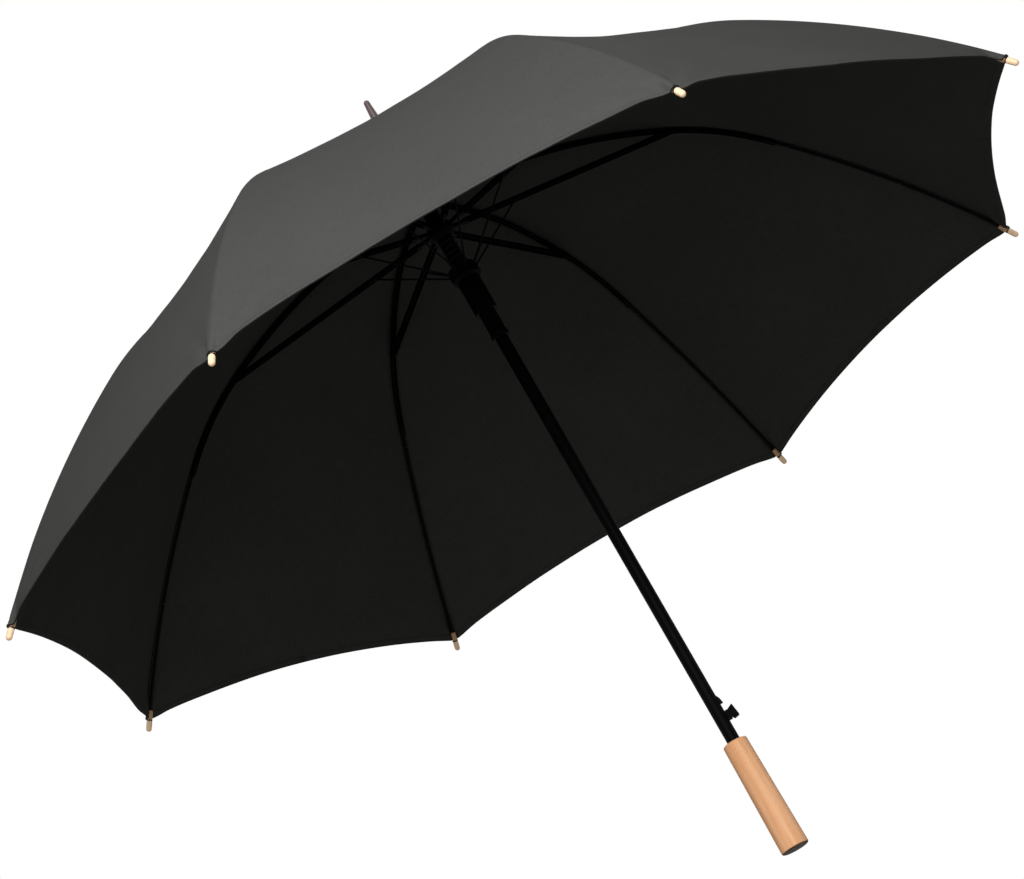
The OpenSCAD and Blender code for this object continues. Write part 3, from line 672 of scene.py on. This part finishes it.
# %% Canopy sheets
GORE_TILE = (0.7, 0.9)
canopy = {}
for i in RIBS:
    mesh, where = grid_of(2 * SIDE_COLUMNS, ROWS)
    cut = {}
    for vertex in mesh.verts:
        column, row = where[vertex]
        half = half_width(row_length(row, 0))
        across = across_of(column - SIDE_COLUMNS, half)
        s = row_length(row, across)
        cut[vertex] = (half_width(s) * (1 - abs(across)), s)
        vertex.co = on_cloth(i, s, across)
    uv_layer = mesh.loops.layers.uv.new("UVMap")
    smooth_faces(mesh)
    for face in mesh.faces:
        side = 1 if sum(where[v][0] for v in face.verts) > 4 * SIDE_COLUMNS else -1
        gore = i if side > 0 else i - 1
        for loop in face.loops:
            from_middle, s = cut[loop.vert]
            loop[uv_layer].uv = (-side * from_middle + GORE_TILE[0] * (gore % 8), s + GORE_TILE[1] * (gore % 8))
    bmesh.ops.reverse_faces(mesh, faces=mesh.faces)
    for edge in mesh.edges:
        edge.smooth = not edge.is_boundary
    sum(face.calc_area() for face in mesh.faces)
    canopy[i] = piece_from(mesh, f"canopy_{i}", [cloth_outside, cloth_inside_painted_shade], f"rib_{i}_body")
    thicken(canopy[i])
    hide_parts(f"canopy_panel_{i}")
    crumple(canopy[i])

# %% [markdown]
# ## Hem, rolled edge and seam allowance
# The hem is turned in once, so inside it shows as a narrow flap, and its fold is overcast to a thin dark
# cord. Behind each rib lies the seam allowance, folded to one side. All three are strips: a small closed
# outline that is carried along a line on the cloth. A strip starts as a grid, one row to each point of the
# outline and one back at the first, which then merges. The open ends are filled and the faces turned out.

# %% Strips on the cloth
def strip(target, outline, count, place_of, material_index):
    """Adds a strip to target. place_of(k, a, h) is the place of outline point (a, h) at step k."""
    mesh, where = grid_of(count, len(outline))
    uv_layer = mesh.loops.layers.uv.new("UVMap")
    way, travelled, last = [0.0], 0.0, None
    for k in range(count + 1):
        here = place_of(k, *outline[0])
        travelled += (here - last).length if last else 0.0
        way.append(travelled)
        last = here
    for vertex in mesh.verts:
        k, p = where[vertex]
        vertex.co = place_of(k, *outline[p % len(outline)])
    smooth_faces(mesh)
    for face in mesh.faces:
        face.material_index = material_index
        for loop in face.loops:
            k, p = where[loop.vert]
            loop[uv_layer].uv = (way[k + 1], p * 0.001)
    bmesh.ops.remove_doubles(mesh, verts=mesh.verts, dist=1e-7)
    filled = bmesh.ops.holes_fill(mesh, edges=mesh.edges, sides=0)
    for face in filled["faces"]:
        face.material_index = material_index
    bmesh.ops.recalc_face_normals(mesh, faces=mesh.faces)
    pour(mesh, target)


# %% [markdown]
# The outlines are in metres: first the way in from the hem, or a share of the allowance's half width, and
# then the height over the outside of the cloth. The heights are negative, because the strips lie inside.

# %% Hem and allowance
FLAP = [(0.0002, -0.00038), (0.0002, -0.0008), (0.0030, -0.00086), (HEM_WIDTH - 0.0003, -0.00084),
        (HEM_WIDTH, -0.0006), (HEM_WIDTH - 0.0003, -0.00038)]
EDGE_RADIUS = 0.0006
EDGE = [(EDGE_RADIUS * math.cos(a), -0.0003 + EDGE_RADIUS * math.sin(a))
        for a in (math.tau * k / 10 for k in range(10))]
ALLOWANCE = [(-1.0, -0.00038), (-1.0, -0.0008), (-0.85, -0.001), (0.2, -0.00092), (0.9, -0.0011),
             (1.0, -0.0008), (1.0, -0.00038)]
ALLOWANCE_STEPS = 150
ALLOWANCE_START, ALLOWANCE_LESS = 0.012, 0.017


def hem_point(i, k, inwards, height):
    across = across_of(k - SIDE_COLUMNS, half_width(rib_length))
    return on_cloth(i, hem_length(across) - inwards, across, height)


def allowance_point(i, k, share, height):
    """Share is of the strip's half width, which narrows towards the corner and wavers a little."""
    s = ALLOWANCE_START + (rib_length - ALLOWANCE_LESS) * k / ALLOWANCE_STEPS
    half = 0.0027 - 0.0009 * fade(s, 0.3, rib_length)
    waver = 0.0003 * noise.noise(Vector((s * 60, i, 0.5)))
    return on_cloth(i, s, (0.0004 + half * share + waver) / half_width(s), height)


trim = {}
for i in RIBS:
    mesh = bmesh.new()
    strip(mesh, FLAP, 2 * SIDE_COLUMNS, lambda k, a, h, i=i: hem_point(i, k, a, h), 0)
    strip(mesh, EDGE, 2 * SIDE_COLUMNS, lambda k, a, h, i=i: hem_point(i, k, a, h), 1)
    # The allowance is near-black: partly its overlocked edge, and partly painted shade beside the rib.
    strip(mesh, ALLOWANCE, ALLOWANCE_STEPS, lambda k, a, h, i=i: allowance_point(i, k, a, h), 1)
    trim[i] = piece_from(mesh, f"trim_{i}", [cloth_inside_painted_shade, overcast_and_rib_shade], f"rib_{i}_body")
    crumple(trim[i])
print("faces in a trim:", len(trim[1].data.polygons))

# %% [markdown]
# ## Stitches
# The hem and the seams are sewn with a lockstitch that shows on both sides as a row of short dashes. One
# dash is a small icosphere, stretched along the row and pressed flat into the cloth. There are thousands, so
# each has only twenty faces.

# %% Stitches
STITCH_PITCH = 0.0029
STITCH_LENGTH = 0.0022
STITCH_WIDTH, STITCH_HEIGHT = 0.00019, 0.00012
ON_TOP, UNDER_HEM, UNDER_SEAM = 0.00003, -0.00088, -0.00103
SEAM_ROW_START = 0.02


def dash(mesh, before, after, up):
    """One stitch between two points. up is the side of the cloth it lies on."""
    run = (after - before).normalized()
    out = (up - run * up.dot(run)).normalized()
    flat = out.cross(run)
    axes = Matrix((run * STITCH_LENGTH / 2, flat * STITCH_WIDTH, out * STITCH_HEIGHT)).transposed().to_4x4()
    bmesh.ops.create_icosphere(mesh, subdivisions=1, radius=1,
                               matrix=Matrix.Translation((before + after) / 2) @ axes)


def stitch_row(mesh, length, point, height):
    """A row of dashes along a line of that length. point(t, h) is a place on the line and h over the cloth."""
    count = int(length / STITCH_PITCH)
    for n in range(count):
        t = (n + 0.5) * length / count
        middle = point(t, height)
        up = point(t, height + 0.001) - middle
        dash(mesh, point(t - STITCH_LENGTH / 2, height), point(t + STITCH_LENGTH / 2, height), up)


def hem_line(i, t, height, inwards, hem_half):
    across = t / hem_half - 1
    return on_cloth(i, hem_length(across) - inwards, across, height)


def seam_line(i, t, height, apart):
    s = SEAM_ROW_START + t
    return on_cloth(i, s, apart / half_width(s), height)


stitches = {}
hem_half = half_width(rib_length)
for i in RIBS:
    mesh = bmesh.new()
    for height in (ON_TOP, UNDER_HEM):
        stitch_row(mesh, 2 * hem_half, lambda t, h, i=i: hem_line(i, t, h, HEM_WIDTH - 0.0006, hem_half), height)
    stitch_row(mesh, rib_length - 0.03, lambda t, h, i=i: seam_line(i, t, h, 0.0013), ON_TOP)
    for apart in (-0.0013, 0.0016):
        stitch_row(mesh, rib_length - 0.04, lambda t, h, i=i, apart=apart: seam_line(i, t, h, apart), UNDER_SEAM)
    smooth_faces(mesh)
    stitches[i] = piece_from(mesh, f"stitches_{i}", [thread], f"rib_{i}_body")
    crumple(stitches[i])
print("faces in a rib's stitches:", len(stitches[1].data.polygons))

# %% [markdown]

# %% Sheets of cloth
for i in RIBS:
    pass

# %% [markdown]
# ## Ties and tip threads
# The cloth is tied to every rib in two places and bound to every wooden tip. A turn of thread is a ring,
# made by spinning a small circle once around. For a tie the ring is pulled up on one side to reach the
# cloth. At a tip three turns lie in its groove, three loops hold the cloth's corner, and a knot with two
# ends closes them.

# %% Thread helpers
THREAD_RADIUS = 0.00021


def turn_of_thread(target, radius, matrix, angle=math.tau, steps=28, stretch=1.0):
    """Adds a ring, or a bent end of thread, around matrix's Z. stretch pulls its +X side outwards."""
    mesh = bmesh.new()
    section = Matrix.Translation((radius, 0, 0)) @ Matrix.Rotation(math.pi / 2, 4, "X")
    ring = bmesh.ops.create_circle(mesh, segments=8, radius=THREAD_RADIUS, matrix=section)["verts"]
    bmesh.ops.spin(mesh, geom=ring + list(mesh.edges), cent=(0, 0, 0), axis=(0, 0, 1), angle=angle,
                   steps=steps, use_merge=angle == math.tau)
    bmesh.ops.remove_doubles(mesh, verts=mesh.verts, dist=1e-7)
    bmesh.ops.holes_fill(mesh, edges=mesh.edges, sides=0)
    bmesh.ops.recalc_face_normals(mesh, faces=mesh.faces)
    for vertex in mesh.verts:
        if vertex.co.x > 0:
            vertex.co.x *= stretch
    bmesh.ops.transform(mesh, matrix=matrix, verts=mesh.verts)
    pour(mesh, target)


def around_rib(i, s):
    """A frame on the rib's line: Z runs along the rib and X points up to the cloth."""
    r, z, slope = rib_place(s, 0.0)
    slope = math.radians(slope)
    run = Vector((math.cos(slope), 0, -math.sin(slope)))
    up = Vector((math.sin(slope), 0, math.cos(slope)))
    axes = Matrix((up, run.cross(up), run)).transposed().to_4x4()
    return turned(i) @ Matrix.Translation((r, 0, z)) @ axes


# %% Ties and tip threads
ROD_RADIUS = 0.0015
TIE_PLACES = (0.376, 0.492)
GROOVE_RADIUS = TIP_RADIUS - 0.00035
LOOP_RADIUS = 0.0015
KNOT_RADIUS = 0.00085
THREAD_END_RADIUS = 0.0022
for i in RIBS:
    mesh = bmesh.new()
    tie_radius = ROD_RADIUS + THREAD_RADIUS
    for s in TIE_PLACES:
        for n in (-1, 0, 1):
            tilt = Matrix.Rotation(math.radians(4 * n + 2), 4, "Y")
            place = Matrix.Translation((0, 0, n * 0.00046))
            reach = (CLOTH_LIFT - POCKET) / tie_radius
            turn_of_thread(mesh, tie_radius, around_rib(i, s) @ place @ tilt, stretch=reach)
    tip = around_rib(i, rib_length)
    for n in (-1, 0, 1):
        tilt = Matrix.Rotation(math.radians(3 * n), 4, "Y")
        turn_of_thread(mesh, GROOVE_RADIUS + THREAD_RADIUS, tip @ Matrix.Translation((0, 0, n * 0.0004)) @ tilt)
        lean = Matrix.Rotation(math.radians(12 * n), 4, "X")
        loop = Matrix.Translation((CLOTH_LIFT - 0.0010, n * 0.0009, -0.0013)) @ lean
        turn_of_thread(mesh, LOOP_RADIUS, tip @ loop @ Matrix.Rotation(math.pi / 2, 4, "X"), steps=20)
    knot_place = tip @ Matrix.Rotation(math.radians(62), 4, "Z") @ Matrix.Translation((GROOVE_RADIUS + 0.0007, 0, 0))
    knot = bmesh.ops.create_icosphere(mesh, subdivisions=3, radius=KNOT_RADIUS, matrix=knot_place)["verts"]
    for vertex in knot:
        vertex.co += (vertex.co - knot_place.translation) * 0.35 * noise.noise(vertex.co * 2200)
    for lean in (35, 80):
        end = knot_place @ Matrix.Rotation(math.radians(lean), 4, "Z")
        end = end @ Matrix.Translation((-THREAD_END_RADIUS, 0, 0))
        turn_of_thread(mesh, THREAD_END_RADIUS, end, angle=math.radians(95), steps=8)
    smooth_faces(mesh)
    ties = piece_from(mesh, f"ties_{i}", [thread], f"rib_{i}_body")
print("faces in a rib's ties:", len(ties.data.polygons))

# %% [markdown]
# ## Rosette
# A small round of the same cloth covers the place where the gores meet, under the ferrule. Its edge is
# pinked with zigzag shears so that it doesn't fray, and one ring of stitches holds it. A radial line of
# points, spun once around, gives the round. Then each point sinks to follow the canopy below it, with a
# slight wave, and the outermost points move in and out for the teeth.

# %% Rosette
rosette_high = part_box("rosette")[1]
ROSETTE_HOLE = 0.0065
ROSETTE_RADIUS = rosette_high.x
ROSETTE_TOP = rosette_high.z - 0.0001
TEETH = 48
RINGS = 12


def rosette_height(x, y):
    r, angle = math.hypot(x, y), math.atan2(y, x)
    wave = 0.00018 * math.sin(8 * angle + 0.6) * fade(r, 0.009, ROSETTE_RADIUS)
    return ROSETTE_TOP - 0.0011 * fade(r, 0.0085, 0.0185) + wave


mesh = bmesh.new()
step = (ROSETTE_RADIUS - ROSETTE_HOLE) / RINGS
line = [mesh.verts.new((ROSETTE_HOLE + n * step, 0, 0)) for n in range(RINGS + 1)]
for a, b in zip(line, line[1:]):
    mesh.edges.new((a, b))
bmesh.ops.spin(mesh, geom=list(mesh.verts) + list(mesh.edges), cent=(0, 0, 0), axis=(0, 0, 1), angle=math.tau,
               steps=2 * TEETH, use_merge=True)
bmesh.ops.remove_doubles(mesh, verts=mesh.verts, dist=1e-7)
uv_layer = mesh.loops.layers.uv.new("UVMap")
for vertex in mesh.verts:
    r = math.hypot(vertex.co.x, vertex.co.y)
    if r > ROSETTE_RADIUS - step / 2:
        turn = round(math.atan2(vertex.co.y, vertex.co.x) / math.tau * 2 * TEETH)
        vertex.co *= 1 if turn % 2 else 1 - 0.0007 / r
    vertex.co.z = rosette_height(vertex.co.x, vertex.co.y)
smooth_faces(mesh)
for face in mesh.faces:
    for loop in face.loops:
        loop[uv_layer].uv = loop.vert.co.xy
bmesh.ops.recalc_face_normals(mesh, faces=mesh.faces)
if sum(face.normal.z for face in mesh.faces) < 0:
    bmesh.ops.reverse_faces(mesh, faces=mesh.faces)
for edge in mesh.edges:
    edge.smooth = not edge.is_boundary
rosette_area = sum(face.calc_area() for face in mesh.faces)
rosette = piece_from(mesh, "rosette_cloth", [cloth_outside, cloth_inside_painted_shade], "frame")
thicken(rosette)
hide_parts("rosette")

# %% [markdown]
# The ring of stitches is the same row of dashes as on the seams, but bent around the shaft.

# %% Rosette stitches
mesh = bmesh.new()
ring_radius = ROSETTE_RADIUS - 0.0022


def rosette_line(t, height):
    angle = t / ring_radius
    x, y = ring_radius * math.cos(angle), ring_radius * math.sin(angle)
    return Vector((x, y, rosette_height(x, y) + height))


stitch_row(mesh, math.tau * ring_radius, rosette_line, ON_TOP)
smooth_faces(mesh)
rosette_stitches = piece_from(mesh, "rosette_stitches", [thread], "frame")
print("rosette area, cm2:", round(rosette_area * 1e4, 2))

# %% [markdown]
# ## Finishes of the frame
# The frame's parts keep the shapes they came with. Each only needs its material. A wooden tip slants with its
# rib, so its grain is turned upright about the shaft and the slope before it is stretched. In the same turned
# coordinates Z runs back along the tip to the rod and X from its lower side to its upper one. The lower side
# of the half that lies under the cloth is darkened with painted shade, which ends at the groove.

# %% Finishes of the frame
def give(material, *names):
    for name in names:
        slots = nodes[name].data.materials
        slots.clear()
        slots.append(material)


give(shaft_enamel, "shaft")
give(handle_wood, "handle")
give(gunmetal, "ferrule")
give(plastic, "top_notch", "upper_crown", "lower_runner", "runner_sleeve", "push_button")
give(frame_enamel, "notch_wire", "crown_wire", "runner_wire", "notch_pin", "catch")
give(spring_steel, "main_spring", "latch_spring")
tip_slope = math.radians(corner_slope)
groove_height = CORNER[1] * math.sin(tip_slope) - CORNER[0] * math.cos(tip_slope)
tip_axis = CORNER[0] * math.sin(tip_slope) + CORNER[1] * math.cos(tip_slope)
SHADE_EDGE = 0.0004
SHADE_SIDE = 0.0010
for i in RIBS:
    give(frame_enamel, f"rib_{i}", f"stretcher_{i}", f"brace_wire_{i}")
    upright = Matrix.Rotation(math.radians(90 - corner_slope), 3, "Y") @ Matrix.Rotation(-rib_azimuth(i), 3, "Z")
    tip_wood, shader, unshaded_colour = wood(f"tip wood {i}", (0.94, 0.70, 0.47), (0.89, 0.63, 0.395), (0.78, 0.49, 0.28),
                                   upright.to_euler(), 1.6)
    split = add(tip_wood, "ShaderNodeSeparateXYZ")
    join(tip_wood, coordinates(tip_wood, "Object", turn=upright.to_euler()), split.inputs["Vector"])
    inner_share = add(tip_wood, "ShaderNodeMapRange")
    inner_share.inputs["From Min"].default_value = groove_height - SHADE_EDGE
    inner_share.inputs["From Max"].default_value = groove_height + SHADE_EDGE
    join(tip_wood, split.outputs["Z"], inner_share.inputs["Value"])
    lower_share = add(tip_wood, "ShaderNodeMapRange")
    lower_share.inputs["From Min"].default_value = tip_axis + SHADE_SIDE
    lower_share.inputs["From Max"].default_value = tip_axis
    join(tip_wood, split.outputs["X"], lower_share.inputs["Value"])
    # Painted shade: the lower side of the inner half is darker, where the canopy shades it.
    painted_shade_share = add(tip_wood, "ShaderNodeMath", operation="MULTIPLY")
    join(tip_wood, inner_share.outputs["Result"], painted_shade_share.inputs[0])
    join(tip_wood, lower_share.outputs["Result"], painted_shade_share.inputs[1])
    painted_shade_mix = add(tip_wood, "ShaderNodeMix", data_type="RGBA", blend_type="MULTIPLY")
    painted_shade_mix.inputs["B"].default_value = (0.46, 0.38, 0.31, 1)
    join(tip_wood, painted_shade_share.outputs["Value"], painted_shade_mix.inputs["Factor"])
    join(tip_wood, unshaded_colour, painted_shade_mix.inputs["A"])
    join(tip_wood, painted_shade_mix.outputs["Result"], shader.inputs["Base Color"])
    give(tip_wood, f"rib_tip_{i}")
print("finished", len(nodes), "parts of the frame")
